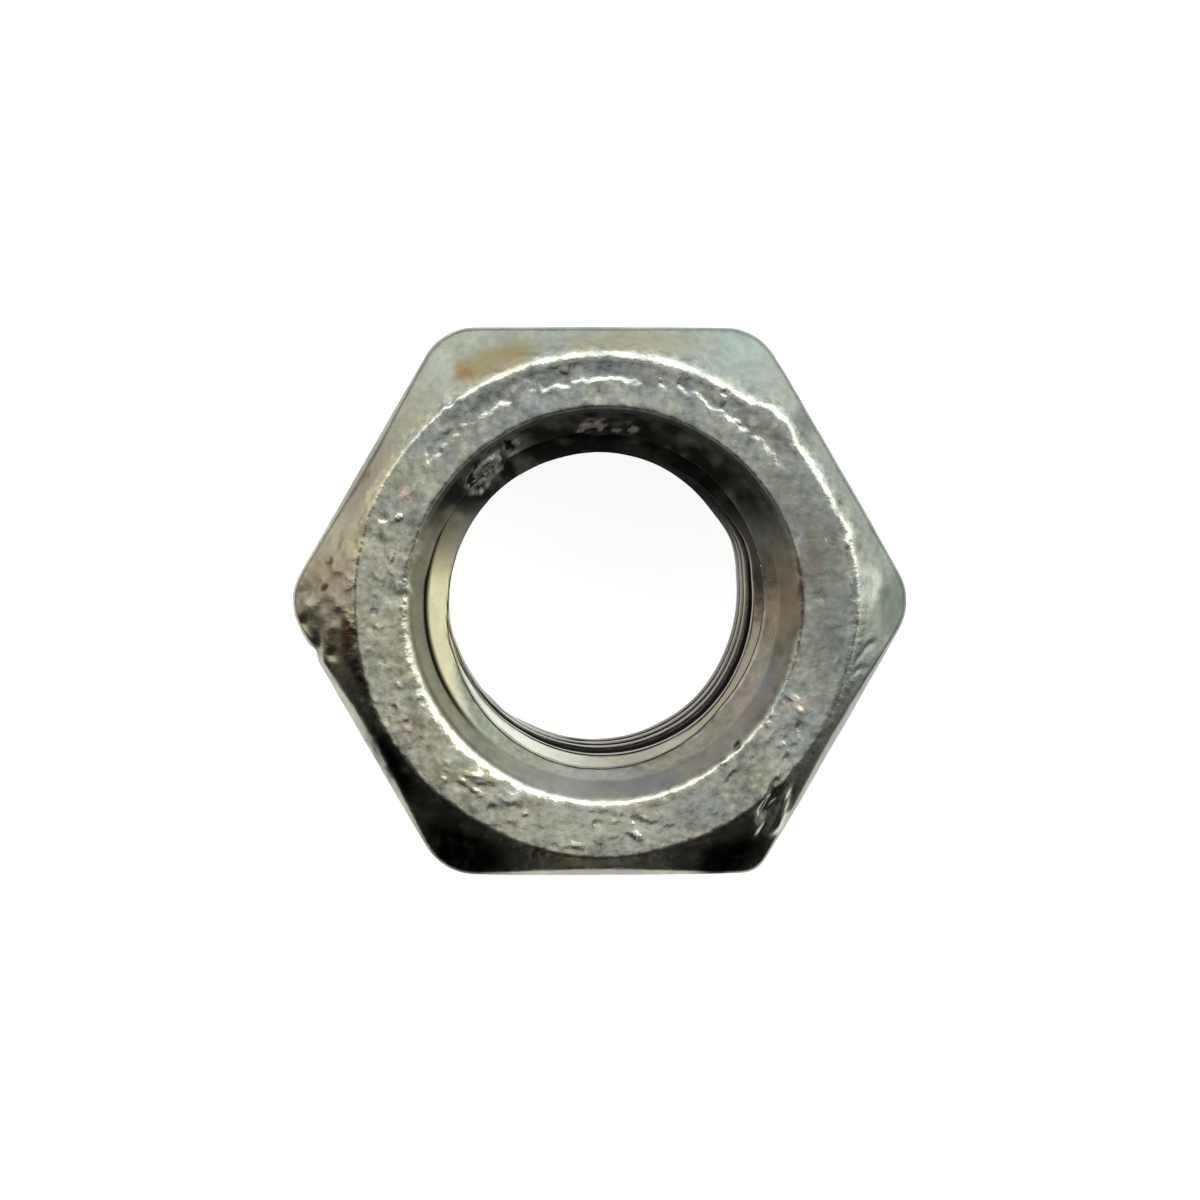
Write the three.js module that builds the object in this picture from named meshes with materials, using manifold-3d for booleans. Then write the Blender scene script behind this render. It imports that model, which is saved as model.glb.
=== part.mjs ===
// A plain metric hexagon nut, M12 x 1.75, made from one piece of steel.
//
// The nut lies flat with its lower bearing face at z = 0 and its bore along +Z. Two of its six
// flats face +Y and -Y, so two corners point along +X and -X. Lengths are in millimetres.

import * as THREE from 'three';
import Module from 'manifold-3d';
import { mergeVertices } from 'three/addons/utils/BufferGeometryUtils.js';

// Driving dimensions.
const ACROSS_FLATS = 18;
const NUT_HEIGHT = 10.8;
const CORNER_ROUNDING = 1.85; // radius along each of the six upright corners
const BEARING_FACE_INSET = 0.7; // how far the round bearing face stops inside the flats
const CHAMFER_SLOPE = 30; // degrees that the corner chamfers fall away from the bearing faces
const THREAD_DIAMETER = 12;
const THREAD_PITCH = 1.75;
const COUNTERSINK_OVERSIZE = 0.9; // how much wider the countersink's mouth is than the thread
const COUNTERSINK_ANGLE = 104; // degrees across the whole cone
const THREAD_CLOCKING = 303; // degrees about the bore at which a groove's root reaches the top face

// Fineness of the round surfaces.
const THREAD_STEPS_PER_TURN = 60;
const LATHE_SEGMENTS = 120;
const CORNER_CURVE_SEGMENTS = 5;

// Sizes that follow from the driving dimensions.
const HEX_CORNERS = 6;
const HALF_CORNER_TURN = Math.PI / HEX_CORNERS;
const APOTHEM = ACROSS_FLATS / 2;
const CORNER_ARC_CENTRE = (APOTHEM - CORNER_ROUNDING) / Math.cos(HALF_CORNER_TURN);
const CORNER_REACH = CORNER_ARC_CENTRE + CORNER_ROUNDING;
const BEARING_FACE_RADIUS = APOTHEM - BEARING_FACE_INSET;
const COUNTERSINK_RADIUS = (THREAD_DIAMETER + COUNTERSINK_OVERSIZE) / 2;

// The basic metric thread: 60 degree grooves, each an eighth of a pitch wide at its root. The hole
// is drilled one pitch smaller than the thread, so every crest keeps a flat.
const MAJOR_RADIUS = THREAD_DIAMETER / 2;
const MINOR_RADIUS = (THREAD_DIAMETER - THREAD_PITCH) / 2;
const FLANK_SLOPE = THREE.MathUtils.degToRad(30);
const ROOT_FLAT = THREAD_PITCH / 8;
const FLANK_RISE = (MAJOR_RADIUS - MINOR_RADIUS) * Math.tan(FLANK_SLOPE);
const CREST_FLAT = THREAD_PITCH - ROOT_FLAT - 2 * FLANK_RISE;

// How far each cutter runs past the steel that it cuts, and a lathe past the corners it trims.
const OVERRUN = 1;

const wasm = await Module();
wasm.setup();

// Turns a three.js geometry into a solid that can be cut and joined.
function solidFrom(geometry) {
  const bare = geometry.clone();
  bare.deleteAttribute('normal');
  bare.deleteAttribute('uv');
  const merged = mergeVertices(bare);
  const mesh = new wasm.Mesh({
    numProp: 3,
    vertProperties: Float32Array.from(merged.attributes.position.array),
    triVerts: Uint32Array.from(merged.index.array),
  });
  return new wasm.Manifold(mesh);
}

// Turns a finished solid back into a geometry for a mesh.
function geometryFrom(solid) {
  const mesh = solid.getMesh();
  const geometry = new THREE.BufferGeometry();
  geometry.setAttribute('position', new THREE.BufferAttribute(mesh.vertProperties, 3));
  geometry.setIndex(new THREE.BufferAttribute(mesh.triVerts, 1));
  geometry.computeVertexNormals();
  return geometry;
}

// Spins a profile of [radius, height] points about the bore.
function turned(profile) {
  const points = profile.map(([radius, height]) => new THREE.Vector2(radius, height));
  return solidFrom(new THREE.LatheGeometry(points, LATHE_SEGMENTS).rotateX(Math.PI / 2));
}

// The bar that the nut is made from: a hexagon with rounded corners, as high as the nut.
function hexagonBar() {
  const outline = new THREE.Shape();
  for (let corner = 0; corner < HEX_CORNERS; corner += 1) {
    const middle = corner * 2 * HALF_CORNER_TURN;
    outline.absarc(
      CORNER_ARC_CENTRE * Math.cos(middle),
      CORNER_ARC_CENTRE * Math.sin(middle),
      CORNER_ROUNDING,
      middle - HALF_CORNER_TURN,
      middle + HALF_CORNER_TURN,
    );
  }
  outline.closePath();
  return solidFrom(new THREE.ExtrudeGeometry(outline, {
    depth: NUT_HEIGHT,
    bevelEnabled: false,
    curveSegments: CORNER_CURVE_SEGMENTS,
  }));
}

// The round blank whose two cones chamfer the bar's corners and leave a round face at each end.
function chamferedBlank() {
  const rimRadius = CORNER_REACH + OVERRUN;
  const slope = Math.tan(THREE.MathUtils.degToRad(CHAMFER_SLOPE));
  const rimHeight = (rimRadius - BEARING_FACE_RADIUS) * slope;
  return turned([
    [0, 0],
    [BEARING_FACE_RADIUS, 0],
    [rimRadius, rimHeight],
    [rimRadius, NUT_HEIGHT - rimHeight],
    [BEARING_FACE_RADIUS, NUT_HEIGHT],
    [0, NUT_HEIGHT],
  ]);
}

// One cone that cuts the countersink at each end of the bore.
function countersinkCutters() {
  const slope = 1 / Math.tan(THREE.MathUtils.degToRad(COUNTERSINK_ANGLE / 2));
  const mouthRadius = COUNTERSINK_RADIUS + OVERRUN / slope;
  const tipDepth = COUNTERSINK_RADIUS * slope;
  return [
    turned([[0, -OVERRUN], [mouthRadius, -OVERRUN], [0, tipDepth]]),
    turned([[0, NUT_HEIGHT - tipDepth], [mouthRadius, NUT_HEIGHT + OVERRUN], [0, NUT_HEIGHT + OVERRUN]]),
  ];
}

// The tap: a bore-sized core with a right-hand thread. Every step round the helix holds one tooth
// profile, whose last corner meets the first corner of the profile one turn further up.
function tap() {
  const profile = [
    { radius: MINOR_RADIUS, rise: 0 },
    { radius: MINOR_RADIUS, rise: CREST_FLAT },
    { radius: MAJOR_RADIUS, rise: CREST_FLAT + FLANK_RISE },
    { radius: MAJOR_RADIUS, rise: CREST_FLAT + FLANK_RISE + ROOT_FLAT },
  ];
  const turns = Math.ceil((NUT_HEIGHT + 2 * OVERRUN) / THREAD_PITCH) + 2;
  const steps = turns * THREAD_STEPS_PER_TURN;
  const clocking = THREE.MathUtils.degToRad(THREAD_CLOCKING);
  const rootHeight = CREST_FLAT + FLANK_RISE + ROOT_FLAT / 2;
  const startHeight = NUT_HEIGHT - rootHeight - (turns - 1) * THREAD_PITCH;

  // Corner `index` of the profile at `step`: one past the last is the next turn's first.
  const vertexAt = (step, index) => (index < profile.length
    ? step * profile.length + index
    : (step + THREAD_STEPS_PER_TURN) * profile.length);

  const positions = [];
  for (let step = 0; step <= steps + THREAD_STEPS_PER_TURN; step += 1) {
    const turn = step / THREAD_STEPS_PER_TURN;
    const angle = clocking + turn * 2 * Math.PI;
    for (const corner of profile) {
      positions.push(
        corner.radius * Math.cos(angle),
        corner.radius * Math.sin(angle),
        startHeight + turn * THREAD_PITCH + corner.rise,
      );
    }
  }

  const triangles = [];
  for (let step = 0; step < steps; step += 1) {
    for (let index = 0; index < profile.length; index += 1) {
      const lower = vertexAt(step, index);
      const lowerNext = vertexAt(step + 1, index);
      const upper = vertexAt(step, index + 1);
      const upperNext = vertexAt(step + 1, index + 1);
      triangles.push(lower, lowerNext, upperNext, lower, upperNext, upper);
    }
  }

  // Each end is closed by a fan from a point on the axis to the last open edges of the helix.
  const endLoop = (firstStep) => {
    const loop = [];
    for (let step = 0; step < THREAD_STEPS_PER_TURN; step += 1) {
      loop.push(vertexAt(firstStep + step, 0));
    }
    for (let index = profile.length; index > 0; index -= 1) {
      loop.push(vertexAt(firstStep, index));
    }
    return loop;
  };
  const lowerCentre = positions.length / 3;
  positions.push(0, 0, startHeight);
  const upperCentre = positions.length / 3;
  positions.push(0, 0, startHeight + (turns + 1) * THREAD_PITCH);
  const lowerLoop = endLoop(0);
  const upperLoop = endLoop(steps);
  lowerLoop.forEach((vertex, place) => {
    triangles.push(lowerCentre, lowerLoop[(place + 1) % lowerLoop.length], vertex);
  });
  upperLoop.forEach((vertex, place) => {
    triangles.push(upperCentre, vertex, upperLoop[(place + 1) % upperLoop.length]);
  });

  const geometry = new THREE.BufferGeometry();
  geometry.setAttribute('position', new THREE.Float32BufferAttribute(positions, 3));
  geometry.setIndex(triangles);
  return solidFrom(geometry);
}

// The whole nut: the bar trimmed by its chamfers, countersunk at both ends and tapped through.
function hexNut() {
  let nut = hexagonBar().intersect(chamferedBlank());
  for (const cutter of countersinkCutters()) {
    nut = nut.subtract(cutter);
  }
  nut = nut.subtract(tap());
  const zincPlatedSteel = new THREE.MeshStandardMaterial({
    color: 0x9a9c98,
    roughness: 0.38,
    metalness: 1,
  });
  const mesh = new THREE.Mesh(geometryFrom(nut), zincPlatedSteel);
  mesh.name = 'hex_nut';
  return mesh;
}

const part = new THREE.Group();
part.add(hexNut());

export default part;
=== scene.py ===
"""A plain zinc-plated M12 hexagon nut, knocked about in use, on a pale floor in studio light."""

import math

import bpy
from mathutils import Matrix, Vector


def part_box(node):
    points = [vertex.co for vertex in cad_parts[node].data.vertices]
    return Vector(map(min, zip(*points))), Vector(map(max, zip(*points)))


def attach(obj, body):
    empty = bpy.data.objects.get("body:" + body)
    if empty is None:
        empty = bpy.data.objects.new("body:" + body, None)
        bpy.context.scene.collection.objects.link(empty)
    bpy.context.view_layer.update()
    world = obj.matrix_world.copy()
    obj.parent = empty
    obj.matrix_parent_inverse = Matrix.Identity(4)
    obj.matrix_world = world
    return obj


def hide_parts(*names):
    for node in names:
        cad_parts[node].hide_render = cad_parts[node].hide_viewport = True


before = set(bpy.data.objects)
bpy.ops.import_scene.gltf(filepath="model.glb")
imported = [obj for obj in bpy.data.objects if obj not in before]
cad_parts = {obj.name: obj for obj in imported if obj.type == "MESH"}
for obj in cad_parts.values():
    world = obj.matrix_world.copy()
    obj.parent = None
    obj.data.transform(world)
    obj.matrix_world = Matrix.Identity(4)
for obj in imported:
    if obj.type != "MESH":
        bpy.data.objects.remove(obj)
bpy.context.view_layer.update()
nut_low, nut_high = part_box("hex_nut")

MM = 0.001
scene = bpy.context.scene


# ---------------------------------------------------------------------------------------------
# Camera. A long lens looks almost straight down the bore, from a little to the left of it and
# behind it, so the threads on the near right-hand side can just be seen.

CAMERA_HEIGHT = 120.1 * MM
CAMERA_LEFT = 4.67 * MM
CAMERA_BACK = 4.67 * MM
LENS_MM = 112.1
SENSOR_MM = 36.0
CAMERA_TARGET = Vector((-0.146 * MM, 0.178 * MM, nut_high.z))
NEAREST_SEEN = 10 * MM
FURTHEST_SEEN = 10.0

camera_data = bpy.data.cameras.new("camera")
camera_data.lens = LENS_MM
camera_data.sensor_width = SENSOR_MM
camera_data.clip_start = NEAREST_SEEN
camera_data.clip_end = FURTHEST_SEEN
camera = bpy.data.objects.new("camera", camera_data)
scene.collection.objects.link(camera)
camera.location = (-CAMERA_LEFT, CAMERA_BACK, nut_high.z + CAMERA_HEIGHT)
looking = (CAMERA_TARGET - camera.location).normalized()
rightwards = looking.cross(Vector((0, 1, 0))).normalized()
upwards = rightwards.cross(looking)
camera.rotation_mode = "QUATERNION"
camera.rotation_quaternion = Matrix((rightwards, upwards, -looking)).transposed().to_quaternion()
scene.camera = camera


# ---------------------------------------------------------------------------------------------
# Floor and light. A pale sheet of card, and a studio whose lit side is to the back and right:
# soft panels low down, two bright strips above them and a round one overhead. The panels in
# front are so dim that the front chamfers stay nearly black, and painted shade darkens them more.


class Wire:
    """One output socket of a node tree, which sums can be written with."""

    def __init__(self, tree, socket):
        self.tree = tree
        self.socket = socket

    def out(self, name):
        """Another output of the same node."""
        return Wire(self.tree, self.socket.node.outputs[name])

    def math(self, operation, *values):
        """The Math node for one step of a sum. Its first value need not be this wire."""
        return self.tree.add("ShaderNodeMath", {"operation": operation}, dict(enumerate(values)))

    def __add__(self, other):
        return self.math("ADD", self, other)

    def __radd__(self, other):
        return self.math("ADD", other, self)

    def __sub__(self, other):
        return self.math("SUBTRACT", self, other)

    def __rsub__(self, other):
        return self.math("SUBTRACT", other, self)

    def __mul__(self, other):
        return self.math("MULTIPLY", self, other)

    def __rmul__(self, other):
        return self.math("MULTIPLY", other, self)

    def __truediv__(self, other):
        return self.math("DIVIDE", self, other)

    def __pow__(self, other):
        return self.math("POWER", self, other)

    def __abs__(self):
        return self.math("ABSOLUTE", self)

    def __lt__(self, other):
        return self.math("LESS_THAN", self, other)

    def cos(self):
        return self.math("COSINE", self)

    def sin(self):
        return self.math("SINE", self)

    def root(self):
        return self.math("SQRT", self)

    def angle_from(self, other):
        """The angle whose tangent is this over the other."""
        return self.math("ARCTAN2", self, other)

    def at_least(self, other, rounding=0.0):
        """The larger of the two, with the change from one to the other rounded off."""
        return self.math("SMOOTH_MAX", self, other, rounding)

    def at_most(self, other, rounding=0.0):
        """The smaller of the two, rounded off in the same way."""
        return self.math("SMOOTH_MIN", self, other, rounding)

    def wrapped(self, low, high):
        """The same angle or turn, brought between low and high."""
        return self.math("WRAP", self, high, low)

    def ramp(self, start, end):
        """0 before start, 1 after end and a smooth change between. Start may be the larger."""
        settings = {"interpolation_type": "SMOOTHSTEP"}
        inputs = {0: self, "From Min": start, "From Max": end}
        return self.tree.add("ShaderNodeMapRange", settings, inputs)


class Tree:
    """A node tree that is filled in by calls to add."""

    def __init__(self, node_tree):
        self.node_tree = node_tree

    def add(self, kind, settings=None, inputs=None, output=0):
        """Adds a node: its type, its settings, and the value, wire or wires for each socket."""
        node = self.node_tree.nodes.new(kind)
        for name, value in (settings or {}).items():
            setattr(node, name, value)
        for name, value in (inputs or {}).items():
            for each in value if isinstance(value, list) else [value]:
                if isinstance(each, Wire):
                    self.node_tree.links.new(each.socket, node.inputs[name])
                else:
                    node.inputs[name].default_value = each
        return Wire(self, node.outputs[output]) if len(node.outputs) else node

    def vector(self, x=0.0, y=0.0, z=0.0):
        return self.add("ShaderNodeCombineXYZ", None, {0: x, 1: y, 2: z})

    def vector_math(self, operation, first, second=None, output=0):
        inputs = {0: first} if second is None else {0: first, 1: second}
        return self.add("ShaderNodeVectorMath", {"operation": operation}, inputs, output)


# The card glows as if lit from below, so that it stays pale right up to the nut. The nut
# reflects less of that glow than the camera sees.
HALF_FLOOR = 2.0
CARD_COLOUR = (0.45, 0.45, 0.445, 1)
CARD_GLOW = 0.48
CARD_GLOW_SEEN = 0.44

floor_corners = [
    (-HALF_FLOOR, -HALF_FLOOR, 0),
    (HALF_FLOOR, -HALF_FLOOR, 0),
    (HALF_FLOOR, HALF_FLOOR, 0),
    (-HALF_FLOOR, HALF_FLOOR, 0),
]
floor_mesh = bpy.data.meshes.new("floor")
floor_mesh.from_pydata(floor_corners, [], [(0, 1, 2, 3)])
floor = bpy.data.objects.new("floor", floor_mesh)
scene.collection.objects.link(floor)
floor_material = bpy.data.materials.new("pale_card")
floor_material.use_nodes = True
floor_material.node_tree.nodes.clear()
card = Tree(floor_material.node_tree)
floor_seen = card.add("ShaderNodeLightPath", output="Is Camera Ray")
matt = card.add("ShaderNodeBsdfDiffuse", None, {"Color": CARD_COLOUR})
glow_strength = CARD_GLOW + CARD_GLOW_SEEN * floor_seen
glow = card.add("ShaderNodeEmission", None, {"Strength": glow_strength})
glowing_card = card.add("ShaderNodeAddShader", None, {0: matt, 1: glow})
card.add("ShaderNodeOutputMaterial", None, {"Surface": glowing_card})
floor_mesh.materials.append(floor_material)

# Each panel: its bearing and half its width, its elevation and half its height (all in
# degrees), and the colour and strength of its light.
PANELS = [
    (55, 70, 36, 14, (0.78, 0.82, 0.75)),
    (62, 22, 36, 14, (0.08, 0.11, 0.12)),
    (153, 31, 36, 14, (0.72, 0.68, 0.57)),
    (112, 54, 12, 9, (0.27, 0.27, 0.25)),
    (68, 24, 12, 9, (0.15, 0.17, 0.16)),
    (20, 34, 12, 9, (0.29, 0.32, 0.26)),
    (178, 14, 12, 9, (0.24, 0.20, 0.14)),
    (260, 85, 4, 8, (0.008, 0.008, 0.007)),
    (271, 12, 27, 10, (0.11, 0.10, 0.09)),
    (255, 95, 60, 12, (0.05, 0.05, 0.045)),
    (-22, 20, 30, 20, (0.12, 0.12, 0.10)),
    (65, 60, 58, 9, (3.00, 3.05, 2.85)),
    (140, 18, 58, 9, (1.50, 1.45, 1.30)),
    (60, 180, 90, 17, (0.47, 0.48, 0.47)),
]
PANEL_SOFTNESS = 5
BACKDROP_COLOUR = (0.93, 0.93, 0.93, 1)

world = bpy.data.worlds.new("studio")
world.use_nodes = True
world.node_tree.nodes.clear()
scene.world = world
sky = Tree(world.node_tree)
towards = sky.add("ShaderNodeTexCoord", output="Generated")
towards = sky.vector_math("NORMALIZE", towards)
towards = sky.add("ShaderNodeSeparateXYZ", None, {0: towards})
bearing = towards.out("Y").angle_from(towards)
elevation = towards.out("Z").math("ARCSINE", towards.out("Z"))
light = sky.vector()
for mid_bearing, half_width, mid_elevation, half_height, colour in PANELS:
    bearing_off = abs((bearing * math.degrees(1) - mid_bearing).wrapped(-180.0, 180.0))
    elevation_off = abs(elevation * math.degrees(1) - mid_elevation)
    across_share = bearing_off.ramp(half_width + PANEL_SOFTNESS, half_width - PANEL_SOFTNESS)
    height_share = elevation_off.ramp(half_height + PANEL_SOFTNESS, half_height - PANEL_SOFTNESS)
    share = across_share * height_share
    panel = sky.vector_math("MULTIPLY", colour, sky.vector(share, share, share))
    light = sky.vector_math("ADD", light, panel)
sky_seen = sky.add("ShaderNodeLightPath", output="Is Camera Ray")
panels = sky.add("ShaderNodeBackground", None, {"Color": light})
backdrop = sky.add("ShaderNodeBackground", None, {"Color": BACKDROP_COLOUR})
surroundings = sky.add("ShaderNodeMixShader", None, {0: sky_seen, 1: panels, 2: backdrop})
sky.add("ShaderNodeOutputWorld", None, {"Surface": surroundings})
scene.view_settings.view_transform = "Standard"


# ---------------------------------------------------------------------------------------------
# The nut. One piece of steel: hexagon bar, pressed to shape, chamfered at 30 degrees,
# countersunk and tapped, then zinc plated. Handling has bruised its corners and pitted its face.

TURN = 2 * math.pi
HALF_CORNER = math.pi / 6
CHAMFER_SLOPE = math.radians(30)
CONE_SLOPE = math.radians(38.4)
MOUTH_RADIUS = 6.349

nut_tree = bpy.data.node_groups.new("hexagon_nut", "GeometryNodeTree")
nut_tree.interface.new_socket("Geometry", in_out="OUTPUT", socket_type="NodeSocketGeometry")
shape = Tree(nut_tree)
group_input = nut_tree.nodes.new("NodeGroupInput")
sizes = {}


def size(name, value):
    """A named size of the nut that can be changed on its modifier."""
    socket = nut_tree.interface.new_socket(name, in_out="INPUT", socket_type="NodeSocketFloat")
    sizes[socket.identifier] = value
    return Wire(shape, group_input.outputs[name])


height = size("Height", nut_high.z - nut_low.z)
across_flats = size("Across Flats", 17.91 * MM)
corner_rounding = size("Corner Rounding", 1.88 * MM)
sharp_rounding = size("Sharp Corner Rounding", 0.95 * MM)
runout_left = size("Hexagon Runout Left", 0.09 * MM)
runout_back = size("Hexagon Runout Back", 0.09 * MM)
rolled_edge = size("Rolled Edge Radius", 0.32 * MM)
face_radius = size("Bearing Face Radius", 8.133 * MM)
face_edge = size("Bearing Face Edge Radius", 0.42 * MM)
mouth_radius = size("Countersink Radius", MOUTH_RADIUS * MM)
mouth_edge = size("Countersink Edge Radius", 0.5 * MM)
pitch = size("Thread Pitch", 1.75 * MM)
root_radius = size("Thread Root Radius", 5.76 * MM)
crest_radius = size("Thread Crest Radius", 4.945 * MM)
thread_rounding = size("Thread Rounding", 0.06 * MM)
clocking = size("Thread Clocking Turns", 0.33)
skin = size("Metal Left for Bruises", 0.05 * MM)


# Every strip of faces starts as a flat grid, whose x is carried once round the nut and whose y is
# carried across the strip.
COLUMNS = 480

grid_place = shape.add("ShaderNodeSeparateXYZ", None, {0: shape.add("GeometryNodeInputPosition")})
turn = grid_place.out("X") + 0.5
across = grid_place.out("Y") + 0.5
cosine = (turn * TURN).cos()
sine = (turn * TURN).sin()


def band(rows, x, y, z):
    """A strip of faces right round the nut."""
    counts = {"Size X": 1.0, "Size Y": 1.0, "Vertices X": COLUMNS + 1, "Vertices Y": rows + 1}
    grid = shape.add("GeometryNodeMeshGrid", None, counts, "Mesh")
    position = shape.vector(x, y, z)
    return shape.add("GeometryNodeSetPosition", None, {"Geometry": grid, "Position": position})


def around(degrees, half_width):
    """1 in one direction from the bore, falling to 0 at half_width degrees either side of it."""
    return abs((turn - degrees / 360).wrapped(-0.5, 0.5)).ramp(half_width / 360, 0.0)


def waves(start, table):
    """A size that changes round the nut: each row is a bearing, a half width and an amount."""
    total = start
    for degrees, half_width, amount in table:
        total = total + around(degrees, half_width) * amount
    return total


def length(x, y):
    return (x * x + y * y).root()


# The hexagon: six flats and six rounded corners, one of them sharper than the rest. Its centre
# is a little away from the bore's.
SHARP_CORNER = 300

from_corner = abs((turn * TURN).wrapped(-HALF_CORNER, HALF_CORNER))
apothem = across_flats / 2
is_sharp = abs((turn - SHARP_CORNER / 360).wrapped(-0.5, 0.5)) < 1 / 12
rounding = corner_rounding + (sharp_rounding - corner_rounding) * is_sharp
flat_reach = apothem / (HALF_CORNER - from_corner).cos()
arc_centre = (apothem - rounding) / math.cos(HALF_CORNER)
off_centre = arc_centre * from_corner.sin()
arc_height = (rounding ** 2.0 - off_centre ** 2.0).at_least(0.0).root()
arc_reach = arc_centre * from_corner.cos() + arc_height
arc_along = arc_centre + rounding * math.cos(HALF_CORNER)
arc_end = (rounding * math.sin(HALF_CORNER)).angle_from(arc_along)
hexagon_reach = flat_reach + (arc_reach - flat_reach) * (from_corner < arc_end)


def hexagon_point(inset):
    """x and y of a point that is a little inside the hexagon's outline."""
    reach = hexagon_reach - inset
    return reach * cosine - runout_left, reach * sine + runout_back


# The top of each flat is rolled over, further in the middle of some flats than of others.
ROLL = math.radians(90) - CHAMFER_SLOPE
roll_radius = waves(rolled_edge, [
    (150, 24, 0.25 * MM),
    (210, 30, 0.70 * MM),
    (270, 30, 0.50 * MM),
    (330, 30, 0.50 * MM),
])

# The edge of the bearing face wanders in and out. It is blunter at the back.
face_reach = waves(face_radius, [
    (43.5, 4.5, 0.2 * MM),
    (47, 4.5, 0.2 * MM),
    (50.5, 4.5, 0.2 * MM),
    (17, 5, 0.08 * MM),
    (5, 24, 0.14 * MM),
    (62, 8, -0.05 * MM),
    (181, 30, -0.08 * MM),
    (238, 14, -0.05 * MM),
    (268, 18, 0.06 * MM),
    (330, 22, 0.04 * MM),
])
face_edge = waves(face_edge, [(70, 75, 0.5 * MM), (20, 30, 0.2 * MM)])
face_flat_end = face_reach - face_edge * math.tan(CHAMFER_SLOPE / 2)

# The countersink's edge is rounded, most of all at the front left.
mouth_edge = waves(mouth_edge, [(212, 75, 0.9 * MM)])
mouth_flat_end = mouth_radius + mouth_edge * math.tan(CONE_SLOPE / 2)

# The chamfer runs from the rolled edge up to the rim of the bearing face.
chamfer_x, chamfer_y = hexagon_point(roll_radius * math.sin(CHAMFER_SLOPE))
chamfer_depth = (length(chamfer_x, chamfer_y) - face_reach) * math.tan(CHAMFER_SLOPE)
chamfer_end = face_reach + face_edge * math.tan(CHAMFER_SLOPE / 2) * math.cos(CHAMFER_SLOPE)


def rolled(along):
    """The upper edge of each flat, from the flat round to the chamfer."""
    tilt = along * ROLL
    x, y = hexagon_point(roll_radius * (1 - tilt.cos()))
    return x, y, chamfer_depth + roll_radius * (math.sin(ROLL) - tilt.sin())


def chamfer(along):
    """The chamfer, whose depth follows a true cone however the hexagon bends it."""
    x = chamfer_x + (chamfer_end * cosine - chamfer_x) * along
    y = chamfer_y + (chamfer_end * sine - chamfer_y) * along
    return x, y, (length(x, y) - face_reach) * math.tan(CHAMFER_SLOPE)


def face_rim(along):
    """The rounded outer edge of the bearing face."""
    tilt = (1 - along) * CHAMFER_SLOPE
    reach = face_flat_end + face_edge * tilt.sin()
    return reach * cosine, reach * sine, face_edge * (1 - tilt.cos())


def bearing_face(along):
    """The flat ring between the two rims."""
    reach = face_flat_end + (mouth_flat_end - face_flat_end) * along
    return reach * cosine, reach * sine, along * 0.0


def mouth_rim(along):
    """The rounded edge where the face turns down into the countersink."""
    tilt = along * CONE_SLOPE
    reach = mouth_flat_end - mouth_edge * tilt.sin()
    return reach * cosine, reach * sine, mouth_edge * (1 - tilt.cos())


# Rows of faces in the flats, and in each strip of the upper and the lower face.
FLAT_ROWS = 5
UPPER_ROWS = (6, 18, 5, 23, 6)
LOWER_ROWS = (4, 6, 2, 4, 2)

flat_depth = chamfer_depth + roll_radius * math.sin(ROLL)
flat_x, flat_y = hexagon_point(0.0)
bands = [band(FLAT_ROWS, flat_x, flat_y, flat_depth + (height - 2 * flat_depth) * across)]
strips = (rolled, chamfer, face_rim, bearing_face, mouth_rim)
for is_top, row_counts in ((True, UPPER_ROWS), (False, LOWER_ROWS)):
    along = across if is_top else 1 - across
    for rows, strip in zip(row_counts, strips):
        x, y, depth = strip(along)
        bands.append(band(rows, x, y, height - depth if is_top else depth))

# The bore. Its rows of faces follow the helix, closer together in the first turns, and are cut
# off level at the rim of each countersink. The thread's ridges and the two cones are whichever
# surface is further from the axis. The first ridge is low, where the tap has only just cut in.
ROWS_PER_TURN = 14
CLOSE_TURNS = 3.0
BORE_ROWS = 122
FLANK_SLOPE = math.sqrt(3)
FIRST_RIDGE_END = (2.1 * MM, 1.5 * MM)
MERGE_DISTANCE = 1e-6

rim_depth = mouth_edge * (1 - math.cos(CONE_SLOPE))
turns_down = (across * (BORE_ROWS / ROWS_PER_TURN) - turn).at_least(0.0)
depth = rim_depth + pitch * (turns_down - turns_down.at_most(CLOSE_TURNS) / 2)
depth = depth.at_most(height - rim_depth)
crest = waves(crest_radius, [
    (98, 40, -0.07 * MM),
    (345, 40, -0.07 * MM),
    (22, 16, 0.10 * MM),
    (190, 12, 0.04 * MM),
])
crest = crest + waves(0.0, [(258, 85, 0.33 * MM)]) * depth.ramp(*FIRST_RIDGE_END)
from_groove = abs(((height - depth) / pitch - turn - clocking).wrapped(-0.5, 0.5)) * pitch
groove_half_width = pitch / 16
thread = root_radius + (groove_half_width - from_groove) * FLANK_SLOPE
thread = thread.at_most(root_radius, thread_rounding).at_least(crest, thread_rounding)
upper_cone = mouth_radius - depth / math.tan(CONE_SLOPE)
lower_cone = mouth_radius - (height - depth) / math.tan(CONE_SLOPE)
reach = thread.at_least(upper_cone, thread_rounding).at_least(lower_cone, thread_rounding)
bands.append(band(BORE_ROWS, reach * cosine, reach * sine, height - depth))

nut = shape.add("GeometryNodeJoinGeometry", None, {0: bands})
merging = {"Geometry": nut, "Distance": MERGE_DISTANCE}
nut = shape.add("GeometryNodeMergeByDistance", None, merging)


# Bruises. All are given in millimetres from the bore's axis, seen from above.
def millimetres(tree, place):
    """A place in metres, in millimetres."""
    return tree.vector_math("MULTIPLY", place, (1 / MM, 1 / MM, 1 / MM))


def noise(tree, place, grain, detail=2.0, output=0):
    """Even noise whose lumps are about one grain wide."""
    inputs = {"Vector": place, "Scale": 1 / grain, "Detail": detail}
    return tree.add("ShaderNodeTexNoise", None, inputs, output)


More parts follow.
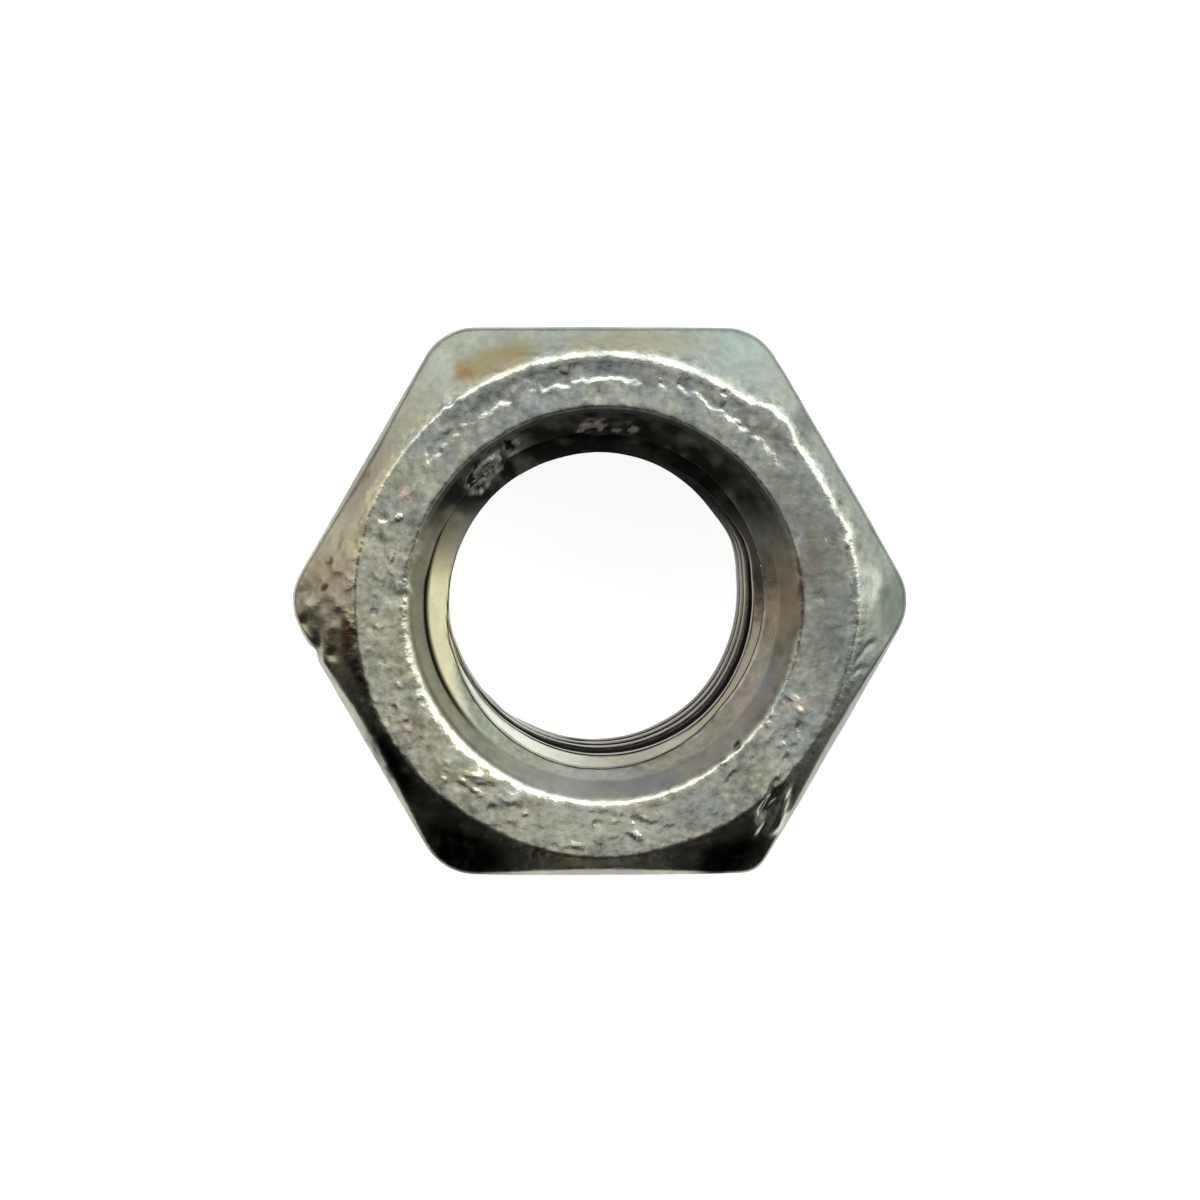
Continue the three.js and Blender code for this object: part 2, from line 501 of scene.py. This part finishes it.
def oval_group(kind):
    """A node group that is 1 in the middle of an oval mark and falls to 0 at its edge."""
    group = bpy.data.node_groups.new("oval_mark", kind)
    for name in ("Place", "Middle", "Shrink"):
        group.interface.new_socket(name, in_out="INPUT", socket_type="NodeSocketVector")
    for name in ("Heading", "Core"):
        group.interface.new_socket(name, in_out="INPUT", socket_type="NodeSocketFloat")
    group.interface.new_socket("Share", in_out="OUTPUT", socket_type="NodeSocketFloat")
    oval = Tree(group)
    given = oval.add("NodeGroupInput")
    offset = oval.vector_math("SUBTRACT", given, given.out("Middle"))
    turning = {"Vector": offset, "Angle": given.out("Heading") * -1}
    turned = oval.add("ShaderNodeVectorRotate", {"rotation_type": "Z_AXIS"}, turning)
    squashed = oval.vector_math("MULTIPLY", turned, given.out("Shrink"))
    away = oval.vector_math("LENGTH", squashed, None, "Value")
    oval.add("NodeGroupOutput", None, {0: away.ramp(1.0, given.out("Core"))})
    return group


OVALS = {kind: oval_group(kind) for kind in ("GeometryNodeTree", "ShaderNodeTree")}


def mark(tree, place, x, y, long, wide, heading, core=0.0):
    """An oval mark on the nut: its middle, its length and width, and the way it points."""
    kind = tree.node_tree.bl_idname
    inputs = {
        "Place": place,
        "Middle": (x, y, 0),
        "Shrink": (2 / long, 2 / wide, 0),
        "Heading": math.radians(heading),
        "Core": core,
    }
    return tree.add(kind.replace("Tree", "Group"), {"node_tree": OVALS[kind]}, inputs)


def wandering(tree, place, amount, grain):
    """The same place, moved about so that marks drawn there have ragged edges."""
    push = noise(tree, place, grain, output="Color")
    push = tree.vector_math("SUBTRACT", push, (0.5, 0.5, 0.5))
    push = tree.vector_math("MULTIPLY", push, (amount, amount, 0))
    return tree.vector_math("ADD", place, push)


# Dents: x, y, length, width, heading in degrees and depth. Less than nothing stands proud.
DENTS = [
    # back left of the face
    (-4.62, 6.70, 0.50, 0.32, 35, -0.044),
    (-4.98, 6.50, 0.34, 0.28, 40, 0.028),
    (-5.15, 6.32, 0.34, 0.28, 20, -0.039),
    (-5.56, 5.91, 0.28, 0.24, 20, -0.033),
    (-5.70, 4.54, 0.50, 0.20, -30, -0.033),
    (-5.96, 3.97, 0.36, 0.24, 40, -0.033),
    (-6.45, 3.55, 0.60, 0.36, 30, -0.033),
    (-6.15, 3.75, 0.36, 0.26, 60, -0.028),
    (-6.60, 2.84, 0.56, 0.14, 45, -0.033),
    (-6.60, 2.84, 0.46, 0.14, -45, -0.033),
    (-7.10, 2.84, 0.70, 0.50, 0, 0.028),
    # left
    (-6.24, 0.46, 0.36, 0.56, 0, -0.033),
    (-6.80, 1.60, 0.40, 0.20, 70, -0.028),
    (-7.40, -0.20, 0.24, 0.30, 0, 0.033),
    (-7.50, -0.75, 0.34, 0.28, 60, 0.033),
    (-7.20, -0.70, 0.30, 0.34, 90, -0.028),
    (-7.10, -1.85, 0.26, 0.26, 0, 0.028),
    (-6.65, -2.53, 0.44, 0.22, -20, -0.033),
    (-6.10, -2.95, 0.34, 0.24, 40, -0.033),
    (-6.36, -3.94, 0.42, 0.32, 110, -0.039),
    (-5.60, -3.80, 0.30, 0.30, 0, 0.028),
    # front left
    (-5.19, -5.60, 0.36, 0.26, -20, -0.039),
    (-5.03, -5.03, 0.32, 0.20, 30, -0.033),
    (-4.59, -5.66, 0.42, 0.26, -25, -0.039),
    (-4.18, -5.96, 0.40, 0.24, -10, -0.039),
    (-4.10, -5.50, 0.46, 0.22, 0, -0.033),
    (-4.40, -5.30, 0.40, 0.24, 30, 0.028),
    (-2.53, -6.69, 0.30, 0.28, 0, -0.044),
    # front
    (-1.00, -7.72, 1.40, 0.36, -4, -0.028),
    (0.98, -7.42, 0.90, 0.26, -38, -0.044),
    (0.30, -7.00, 0.60, 0.20, 20, -0.033),
    (1.30, -6.90, 0.40, 0.20, 60, -0.028),
    (0.70, -6.90, 0.50, 0.16, -50, 0.028),
    (1.96, -6.15, 0.50, 0.12, 112, 0.039),
    # front right
    (4.26, -4.47, 0.44, 0.26, 52, 0.066),
    (3.80, -5.12, 0.42, 0.30, 30, -0.044),
    (5.43, -3.54, 0.30, 0.30, 0, -0.039),
    (5.30, -3.86, 0.36, 0.24, 30, -0.033),
    (5.63, -5.56, 0.30, 0.30, 0, -0.039),
    (5.75, -4.55, 0.60, 0.30, 15, -0.039),
    (5.85, -4.95, 0.40, 0.28, 50, 0.028),
    (6.28, -3.35, 0.80, 0.22, -62, -0.039),
    (6.15, -3.05, 0.70, 0.20, -15, -0.033),
    (5.85, -3.10, 0.70, 0.16, -48, 0.033),
    (6.32, -3.98, 0.80, 0.16, -72, 0.033),
    (6.15, -4.60, 0.60, 0.14, 30, 0.028),
    (4.12, -5.52, 0.90, 0.20, 42, 0.033),
    (4.72, -5.02, 0.70, 0.18, 12, 0.033),
    # right
    (7.45, -1.85, 0.50, 0.18, 70, -0.022),
    (8.58, -1.36, 0.90, 0.22, 36, 0.036),
    (8.30, -1.75, 0.70, 0.20, 44, 0.039),
    (8.30, -2.15, 0.60, 0.18, 20, 0.033),
    (3.93, 6.84, 0.34, 0.30, 0, 0.050),
    (7.80, 2.10, 0.50, 0.20, 100, -0.028),
    # the left corner, knocked in
    (-9.70, -0.62, 0.60, 0.60, 0, 0.045),
    (-9.30, -0.95, 1.10, 0.80, 60, 0.040),
    (-8.95, -0.70, 0.50, 0.40, 0, -0.025),
    (-9.45, 0.10, 0.80, 0.60, 20, -0.021),
    (-8.80, -1.60, 0.60, 0.50, 40, 0.045),
    (-9.38, -1.50, 1.20, 0.70, 75, 0.110),
]

# Crumpled patches: x, y, length, width, heading, depth, grain along and across the heading.
CRUMPLES = [
    (-9.20, 0.00, 3.6, 2.6, 80, 0.10, 0.5, 0.4),
    (5.50, -6.65, 2.9, 1.2, 66, 0.62, 1.5, 0.5),
    (8.90, 0.30, 2.0, 1.8, 80, 0.03, 0.5, 0.3),
    (-8.60, 1.60, 2.4, 1.4, 60, 0.06, 0.5, 0.4),
    (-6.70, -3.90, 3.4, 1.8, 122, 0.10, 0.5, 0.4),
    (-6.90, 1.50, 5.0, 1.8, 90, 0.09, 0.6, 0.4),
    (-3.60, -6.10, 3.6, 1.8, 148, 0.09, 0.6, 0.45),
    (0.60, -7.10, 3.6, 1.5, 0, 0.12, 0.6, 0.5),
    (5.50, -4.60, 3.6, 1.8, 50, 0.10, 0.8, 0.6),
    (7.20, 1.00, 1.6, 5.0, 0, 0.06, 0.5, 0.4),
    (0.00, 5.75, 2.8, 0.6, 0, 0.45, 0.5, 0.3),
    (-3.85, 4.30, 2.0, 1.0, 50, 0.90, 0.45, 0.25),
    (-2.95, 5.12, 1.0, 0.6, 65, 0.50, 0.40, 0.25),
]

# Patches where metal has been pushed up proud: x, y, length, width, heading.
PROUD = [
    (-3.75, 4.50, 3.0, 1.6, 50),
    (5.55, -6.60, 3.4, 1.8, 66),
    (0.00, 5.75, 3.4, 1.0, 0),
]
PROUD_LIMIT = 0.25

# A pair of numbers is where something begins and where it is full. Only the upper part of the
# nut is bruised; all of it is a little uneven, in broad swells and in finer ripples.
BRUISED_DEPTHS = (3.0, 2.0)
BRUISE_WANDER = 0.35
SWELL_DEPTH = 0.03
RIPPLE_DEPTH = 0.012
FOLD_CORE = 0.4
PROUD_CORE = 0.5

place = shape.add("GeometryNodeInputPosition")
place = millimetres(shape, place)
ragged = wandering(shape, place, BRUISE_WANDER, 0.5)
along_axes = shape.add("ShaderNodeSeparateXYZ", None, {0: place})
backwards = along_axes.out("Y")
from_top = height / MM - along_axes.out("Z")
is_bruised = from_top.ramp(*BRUISED_DEPTHS)
swells = noise(shape, place, 1.5, 1.0) * SWELL_DEPTH
ripples = noise(shape, place, 0.4) * RIPPLE_DEPTH

marks = along_axes.out("Z") * 0.0
for x, y, long, wide, heading, deep in DENTS:
    marks = marks + mark(shape, ragged, x, y, long, wide, heading) * deep
for x, y, long, wide, heading, deep, grain_along, grain_across in CRUMPLES:
    turned = {"Vector": place, "Angle": -math.radians(heading)}
    turned = shape.add("ShaderNodeVectorRotate", {"rotation_type": "Z_AXIS"}, turned)
    folds = (1 / grain_along, 1 / grain_across, 1 / grain_across)
    folds = noise(shape, shape.vector_math("MULTIPLY", turned, folds), 1.0, 1.0)
    patch = mark(shape, ragged, x, y, long, wide, heading, FOLD_CORE)
    marks = marks + patch * (folds - 0.5) * deep

# The back of the bearing face was done up against something smaller than the nut: it has been
# pressed down inside a squiggly step, and its edge stands up as a fine lip.
STEP_RADIUS = 7.27
STEP_HALF_WIDTH = 0.09
STEP_DEPTH = 0.040
STEP_SHARE = 0.8
STEP_PLACES = (3.9, 5.0)
STEP_MIDDLE = (4.0, 1.6)
STEP_GAPS = (0.34, 0.50)
STEP_OUTER_END = (8.05, 7.4)
WOBBLE = 0.5
FINE_WOBBLE = 0.15
LIP_RADIUS = 7.93
LIP_HALF_WIDTH = 0.2
LIP_HEIGHT = 0.01
LIP_PLACES = (1.0, 4.0)

radius = length(along_axes, backwards)
broken = noise(shape, place, 0.7).ramp(*STEP_GAPS)
wobble = (noise(shape, place, 0.4, 1.0) - 0.5) * WOBBLE
wobble = wobble + (noise(shape, place, 0.2, 0.0) - 0.5) * FINE_WOBBLE
in_middle = abs(along_axes).ramp(*STEP_MIDDLE)
is_back = backwards.ramp(*STEP_PLACES) * (STEP_SHARE + (1 - STEP_SHARE) * in_middle)
step = (radius + wobble).ramp(STEP_RADIUS - STEP_HALF_WIDTH, STEP_RADIUS + STEP_HALF_WIDTH)
step = step * radius.ramp(*STEP_OUTER_END)
marks = marks + step * is_back * broken * STEP_DEPTH
lip = abs(radius - LIP_RADIUS).ramp(LIP_HALF_WIDTH, 0.0)
lip = lip * (backwards + along_axes).ramp(*LIP_PLACES)
marks = marks - lip * LIP_HEIGHT

# The blank is drawn in by a thin skin, and every mark goes deeper than that or stands up into
# it. The plate is told where it is hollow, and where it is proud and so is rubbed bright.
HOLLOW_DEPTHS = (0.0, 0.1)
RUBBED_HEIGHTS = (0.004, 0.03)

bruises = marks * is_bruised
pushed_in = (swells + ripples) * MM + bruises * MM + skin
proud = 0.0
for x, y, long, wide, heading in PROUD:
    proud = mark(shape, place, x, y, long, wide, heading, PROUD_CORE) + proud
pushed_in = pushed_in.at_least(proud * -PROUD_LIMIT * MM)
normal = shape.add("GeometryNodeInputNormal")
push = shape.vector_math("MULTIPLY", normal, shape.vector(pushed_in, pushed_in, pushed_in))
inwards = shape.vector_math("MULTIPLY", push, (-1, -1, -1))
nut = shape.add("GeometryNodeSetPosition", None, {"Geometry": nut, "Offset": inwards})
stored = {"Geometry": nut, "Name": "hollow", "Value": bruises.ramp(*HOLLOW_DEPTHS)}
nut = shape.add("GeometryNodeStoreNamedAttribute", None, stored)
stored = {"Geometry": nut, "Name": "rubbed", "Value": (bruises * -1).ramp(*RUBBED_HEIGHTS)}
nut = shape.add("GeometryNodeStoreNamedAttribute", None, stored)
nut = shape.add("GeometryNodeSetShadeSmooth", None, {"Geometry": nut})
nut = shape.add("GeometryNodeRealizeInstances", None, {"Geometry": nut})

# Zinc plate: a mottled grey metal, made lighter and warmer to the front and left by a painted
# sheen, with stains (some patches among them are painted shade and sheen), grime in the hollows,
# painted shade in the thread, and a fine grain all over.
COOL_ZINC = (0.52, 0.56, 0.55, 1)
WARM_ZINC_AND_SHEEN = (0.74, 0.71, 0.54, 1)
RUBBED_ZINC = (1.0, 0.97, 0.88, 1)
GRIME = (0.14, 0.12, 0.10, 1)
FACE_DEPTHS = (0.35, 0.15)
BORE_RADII = (MOUTH_RADIUS + 0.05, MOUTH_RADIUS - 0.15)
MOTTLE, FACE_MOTTLE = 0.25, 0.25
SPECKLE, FACE_SPECKLE, BORE_SPECKLE = 0.9, 1.6, 1.5
FRONT_LEFT_PAINTED_SHEEN = 0.5
OUTER_BACK_RADIUS = 7.75
OUTER_BACK_PAINTED_SHADE = 0.1
GRIME_SHARE = 0.35
RUBBED_SHARE = 0.85

# Stains, and some patches of painted shade and sheen: x, y, length, width, heading, strength and
# colour. They are all on the upper part.
PATCHED_DEPTHS = (2.6, 2.0)
PATCH_WANDER = 0.6
PATCH_CORE = 0.3
PATCHY_RANGE = (0.1, 0.5)
STAINS_AND_PAINTED_LIGHT = [
    (0.80, 8.45, 7.0, 1.2, 0, 0.9, (0.52, 0.48, 0.36)),
    (-4.20, 7.60, 2.8, 1.4, 30, 0.7, (0.48, 0.45, 0.34)),
    (-3.40, 7.95, 3.8, 1.5, 15, 0.9, (0.46, 0.38, 0.22)),
    (-4.50, 7.50, 1.1, 0.9, 40, 0.8, (0.40, 0.26, 0.13)),
    (-5.40, 7.50, 1.2, 1.5, 60, 0.6, (0.58, 0.65, 0.62)),
    (4.50, 8.20, 2.4, 2.0, 0, 0.6, (0.60, 0.68, 0.68)),
    (-7.60, 4.30, 4.6, 1.3, 60, 0.7, (0.40, 0.39, 0.34)),
    (-7.20, 3.95, 3.4, 0.4, 57, 0.7, (0.78, 0.75, 0.60)),
    (-7.66, 4.20, 0.5, 0.3, 50, 0.7, (0.35, 0.22, 0.14)),
    (-8.90, 0.90, 2.6, 2.0, 80, 0.6, (0.52, 0.43, 0.33)),
    (-9.03, 0.58, 0.5, 0.4, 0, 0.9, (0.12, 0.07, 0.05)),
    (-8.87, 1.39, 0.5, 0.3, 60, 0.8, (0.15, 0.10, 0.07)),
    (-8.60, -1.00, 2.0, 1.4, 95, 0.5, (0.40, 0.34, 0.26)),
    (-8.25, -1.00, 2.0, 0.6, 96, 0.9, (0.20, 0.09, 0.06)),
    (-7.90, -2.30, 1.8, 0.8, 112, 0.8, (0.08, 0.05, 0.04)),
    # Painted shade: these three near-black patches on the front chamfers are a painted dark
    # reflection.
    (-6.90, -5.00, 4.2, 1.0, 120, 1.0, (0.05, 0.05, 0.05)),
    (-4.60, -8.00, 4.6, 2.4, -30, 1.0, (0.03, 0.03, 0.03)),
    (4.00, -8.30, 3.4, 1.8, 25, 1.0, (0.03, 0.03, 0.03)),
    (-6.40, 3.60, 0.8, 0.6, 30, 0.8, (0.90, 0.66, 0.48)),
    (-6.36, -3.94, 0.5, 0.5, 60, 0.8, (0.95, 0.72, 0.55)),
    (6.28, -3.25, 1.2, 0.4, -60, 0.9, (1.00, 0.80, 0.62)),
    (6.10, -3.10, 1.1, 0.3, 20, 0.8, (1.00, 0.82, 0.66)),
    (6.75, -3.15, 0.9, 0.5, 10, 0.5, (0.66, 0.48, 0.42)),
    (-4.83, 5.02, 1.1, 0.6, 35, 0.5, (0.36, 0.36, 0.34)),
    (2.90, -6.70, 3.0, 1.8, 25, 0.5, (0.56, 0.61, 0.64)),
    (5.80, 0.40, 1.4, 4.6, 0, 0.7, (1.00, 0.84, 0.60)),
    (5.75, -0.80, 0.8, 1.2, 0, 0.6, (1.00, 0.90, 0.56)),
    (6.36, 0.20, 0.4, 4.2, 0, 0.7, (0.26, 0.16, 0.11)),
    (5.90, 3.40, 3.8, 1.4, 120, 0.6, (0.34, 0.33, 0.29)),
    (6.75, 2.40, 1.0, 3.4, 15, 0.5, (0.42, 0.36, 0.28)),
    # Painted shade: this patch darkens the right side of the face.
    (7.15, 0.20, 1.9, 9.0, 0, 0.6, (0.36, 0.37, 0.31)),
    (6.75, 1.30, 0.8, 2.6, 10, 0.6, (0.34, 0.27, 0.20)),
    (6.10, 0.20, 0.4, 3.6, 0, 0.9, (1.00, 0.80, 0.50)),
    (5.85, -0.90, 0.6, 1.5, -8, 0.8, (0.95, 0.95, 0.52)),
    # Painted sheen: this patch lightens the front of the face.
    (-0.40, -7.00, 6.5, 2.2, 0, 0.7, (0.88, 0.87, 0.76)),
    (-3.85, 4.30, 2.2, 1.2, 50, 1.0, (1.00, 1.00, 0.97)),
    (4.90, -3.00, 4.0, 1.4, 58, 0.6, (1.00, 0.86, 0.84)),
    (5.30, -2.45, 1.6, 0.8, 65, 0.7, (0.62, 0.72, 0.95)),
    (3.50, -4.50, 4.4, 1.4, 40, 0.7, (0.90, 0.84, 0.82)),
    (-0.30, -5.80, 7.5, 1.4, 0, 0.8, (0.84, 0.83, 0.90)),
    (1.60, -5.75, 2.6, 0.8, 16, 0.7, (0.62, 0.68, 0.86)),
    (-5.70, -1.50, 1.4, 5.0, 10, 0.5, (0.40, 0.46, 0.38)),
    (-0.20, 5.80, 2.4, 0.6, 0, 0.8, (0.80, 0.64, 0.42)),
    (5.55, -6.65, 2.6, 1.0, 66, 0.7, (0.80, 0.80, 0.74)),
    (9.40, 0.00, 1.8, 3.0, 0, 0.8, (0.30, 0.33, 0.31)),
    (8.70, 0.70, 0.9, 2.2, 0, 1.0, (1.00, 1.00, 0.90)),
    (0.00, -8.75, 5.0, 0.9, 0, 0.6, (0.50, 0.46, 0.42)),
    (7.60, -4.40, 5.0, 0.8, 60, 0.5, (0.60, 0.58, 0.52)),
]

zinc = bpy.data.materials.new("zinc_plate")
zinc.use_nodes = True
zinc.node_tree.nodes.clear()
plate = Tree(zinc.node_tree)


def blend(share, below, above, how="MIX"):
    """One colour laid over another. The Mix node's colours are its sockets 6 and 7."""
    settings = {"data_type": "RGBA", "blend_type": how}
    return plate.add("ShaderNodeMix", settings, {0: share, 6: below, 7: above}, 2)


def grey(value):
    """A grey of that brightness."""
    return plate.vector(value, value, value)


place = millimetres(plate, plate.add("ShaderNodeTexCoord", output="Object"))
ragged = wandering(plate, place, PATCH_WANDER, 0.6)
axes = plate.add("ShaderNodeSeparateXYZ", None, {0: place})
leftwards = axes * -1.0
backwards = axes.out("Y")
radius = length(axes, backwards)
from_top = (nut_high.z - nut_low.z) / MM - axes.out("Z")
is_patched = from_top.ramp(*PATCHED_DEPTHS)
is_face = from_top.ramp(*FACE_DEPTHS)
is_bore = radius.ramp(*BORE_RADII)

mottle = noise(plate, place, 1.2, 5.0).ramp(0.35, 0.65)
# Painted sheen: the face is made lighter and warmer to the front and left, with random mottle on
# top.
front_left_sheen = (axes * -0.9 - backwards).ramp(-3.0, 5.0)
warmth_and_sheen = mottle * (MOTTLE + FACE_MOTTLE * is_face) + front_left_sheen * FRONT_LEFT_PAINTED_SHEEN
colour = blend(warmth_and_sheen, COOL_ZINC, WARM_ZINC_AND_SHEEN)
speckle = noise(plate, place, 0.2, 3.0) * 0.5 + noise(plate, place, 0.5, 1.0) * 0.5
speckle = (speckle - 0.5) * (SPECKLE + FACE_SPECKLE * is_face + BORE_SPECKLE * is_bore)
colour = blend(1.0, colour, grey(1 + speckle), "MULTIPLY")
# Painted shade: the outer part of the face at the back is darkened in its colour.
outer_back_shade = abs(radius - OUTER_BACK_RADIUS).ramp(0.5, 0.25)
outer_back_shade = outer_back_shade * (backwards + axes * 0.5).ramp(-1.0, 3.0)
painted_dimming = OUTER_BACK_PAINTED_SHADE * outer_back_shade * is_face
colour = blend(1.0, colour, grey(1.0 - painted_dimming), "MULTIPLY")
patchy = noise(plate, place, 0.5, 3.0).ramp(*PATCHY_RANGE)
# Each patch is laid over the colour: most are stains, a few are painted shade and sheen.
for x, y, long, wide, heading, strength, patch_colour in STAINS_AND_PAINTED_LIGHT:
    share = mark(plate, ragged, x, y, long, wide, heading, PATCH_CORE)
    share = share * strength * patchy * is_patched
    colour = blend(share, colour, (*patch_colour, 1))
hollow = plate.add("ShaderNodeAttribute", {"attribute_name": "hollow"}, None, "Fac")
colour = blend(hollow * GRIME_SHARE, colour, GRIME)
rubbed = plate.add("ShaderNodeAttribute", {"attribute_name": "rubbed"}, None, "Fac")
colour = blend(rubbed * RUBBED_SHARE, colour, RUBBED_ZINC)

# In the bore: bright flanks, lighter to the left as a painted highlight and darker to the right
# as painted shade, and matt black painted shade in the grooves and round the first of them. At
# the back the painted shade, a painted dark reflection, covers the ridges and the countersink
# too, all but a cluster of burrs.
RIGHT_FLANK_SHADE = (0.48, 0.44, 0.40, 1)
LEFT_FLANK_HIGHLIGHT = (1.0, 0.98, 0.88, 1)
FAR_LEFT_FLANK_HIGHLIGHT = (1.0, 0.90, 0.62, 1)
FLANK_LIGHT_SHARE = 0.9
PAINTED_SHADE_BLACK = (0.015, 0.014, 0.013, 1)
GROOVE_RADII = (5.62, 5.76)
RIDGE_RADII = (5.45, 5.25)
FIRST_GROOVE_DEPTH = 4.5
FIRST_GROOVE_REACH = (0.8, 0.5)
FIRST_GROOVE_WANDER = 0.5
SHADED_BACK = (0.5, 3.6)
BACK_SHADE_SHARE = 0.9
UNDER_RIM_RADII = (5.95, 6.1, 6.6, 6.75)
UNDER_RIM_DEPTHS = (0.085, 0.115)
SHADE_PATCH_RANGE = (-0.3, 0.6)
CONE_END = (0.04, 0.2)
BURR_CLUSTER = (-3.85, 4.30, 1.9, 0.75, 50)
BURR_SHARE = 0.8

past_cone = radius + from_top / math.tan(CONE_SLOPE) - MOUTH_RADIUS
behind_cone = past_cone.ramp(*CONE_END) * is_bore
# Painted light: the flank colour is lighter to the left as a painted highlight and darker to the
# right as painted shade.
flank_light_and_shade = blend(leftwards.ramp(-1.0, 3.0), RIGHT_FLANK_SHADE, LEFT_FLANK_HIGHLIGHT)
flank_light_and_shade = blend(leftwards.ramp(4.2, 5.1), flank_light_and_shade, FAR_LEFT_FLANK_HIGHLIGHT)
colour = blend(behind_cone * FLANK_LIGHT_SHARE, colour, flank_light_and_shade)
# Painted shade: black in the groove roots and in a band round the first groove.
groove_shade = radius.ramp(*GROOVE_RADII)
first_wander = FIRST_GROOVE_WANDER * noise(plate, place, 1.0)
first_groove_shade = abs(from_top - FIRST_GROOVE_DEPTH + first_wander).ramp(*FIRST_GROOVE_REACH)
# Painted shade at the back, in patches: a painted dark reflection over the countersink and
# ridges.
at_back = backwards.ramp(*SHADED_BACK)
rim_start, rim_full, rim_fading, rim_end = UNDER_RIM_RADII
under_rim = radius.ramp(rim_start, rim_full) * radius.ramp(rim_end, rim_fading)
under_rim = under_rim * from_top.ramp(*UNDER_RIM_DEPTHS)
ridges = radius.ramp(*RIDGE_RADII)
burrs = mark(plate, ragged, *BURR_CLUSTER, PATCH_CORE)
unshaded_burrs = burrs.at_least(rubbed * BURR_SHARE)
shade_patches = noise(plate, place, 0.8).ramp(*SHADE_PATCH_RANGE) * (1 - unshaded_burrs) * is_bore
painted_shade = groove_shade.at_least(first_groove_shade) * behind_cone
back_shade = under_rim.at_least(ridges) * at_back * BACK_SHADE_SHARE
painted_shade = painted_shade.at_least(back_shade).at_least(shade_patches * at_back)
colour = blend(painted_shade, colour, PAINTED_SHADE_BLACK)

# The plate's own relief is too fine to be in the mesh: a grain all over, finer specks in it,
# and shallow lumps that are strongest to the front and left. All are weaker off the face.
GRAIN_HEIGHT = 0.020
SPECK_HEIGHT = 0.004
LUMP_HEIGHT = 0.035
OFF_FACE_SHARE = 0.3
SHINE, SHINE_CHANGE, PAINTED_SHADE_ROUGHNESS = 0.14, 0.22, 0.5

grain = (noise(plate, place, 0.28, 3.0) - 0.5) * GRAIN_HEIGHT
grain = grain + (noise(plate, place, 0.1) - 0.5) * SPECK_HEIGHT
lumps = (noise(plate, place, 0.4, 1.0) - 0.5) * LUMP_HEIGHT
lumps = lumps * (leftwards - backwards).ramp(-6.0, 6.0)
grain = (grain + lumps) * (OFF_FACE_SHARE + (1 - OFF_FACE_SHARE) * is_face)
bump = plate.add("ShaderNodeBump", None, {"Strength": 1.0, "Distance": MM, "Height": grain})
# Under the painted shade the surface is made rough and not metal, so that it stays black.
roughness = SHINE + SHINE_CHANGE * noise(plate, place, 0.7, 4.0) + PAINTED_SHADE_ROUGHNESS * painted_shade
metal = plate.add(
    "ShaderNodeBsdfPrincipled",
    None,
    {
        "Base Color": colour,
        "Metallic": 1 - painted_shade,
        "Roughness": roughness,
        "Normal": bump,
        "Specular IOR Level": 0.1,
    },
)
plate.add("ShaderNodeOutputMaterial", None, {"Surface": metal})
nut = shape.add("GeometryNodeSetMaterial", None, {"Geometry": nut, "Material": zinc})
shape.add("NodeGroupOutput", None, {0: nut})

blank = bpy.data.objects.new("nut_blank", bpy.data.meshes.new("nut_blank"))
scene.collection.objects.link(blank)
modifier = blank.modifiers.new("hexagon_nut", "NODES")
modifier.node_group = nut_tree
for identifier, value in sizes.items():
    modifier[identifier] = value
made = blank.evaluated_get(bpy.context.evaluated_depsgraph_get())
nut_mesh = bpy.data.meshes.new_from_object(made)
bpy.data.objects.remove(blank)
nut = bpy.data.objects.new("hexagon_nut", nut_mesh)
scene.collection.objects.link(nut)
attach(nut, "root")
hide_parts("hex_nut")
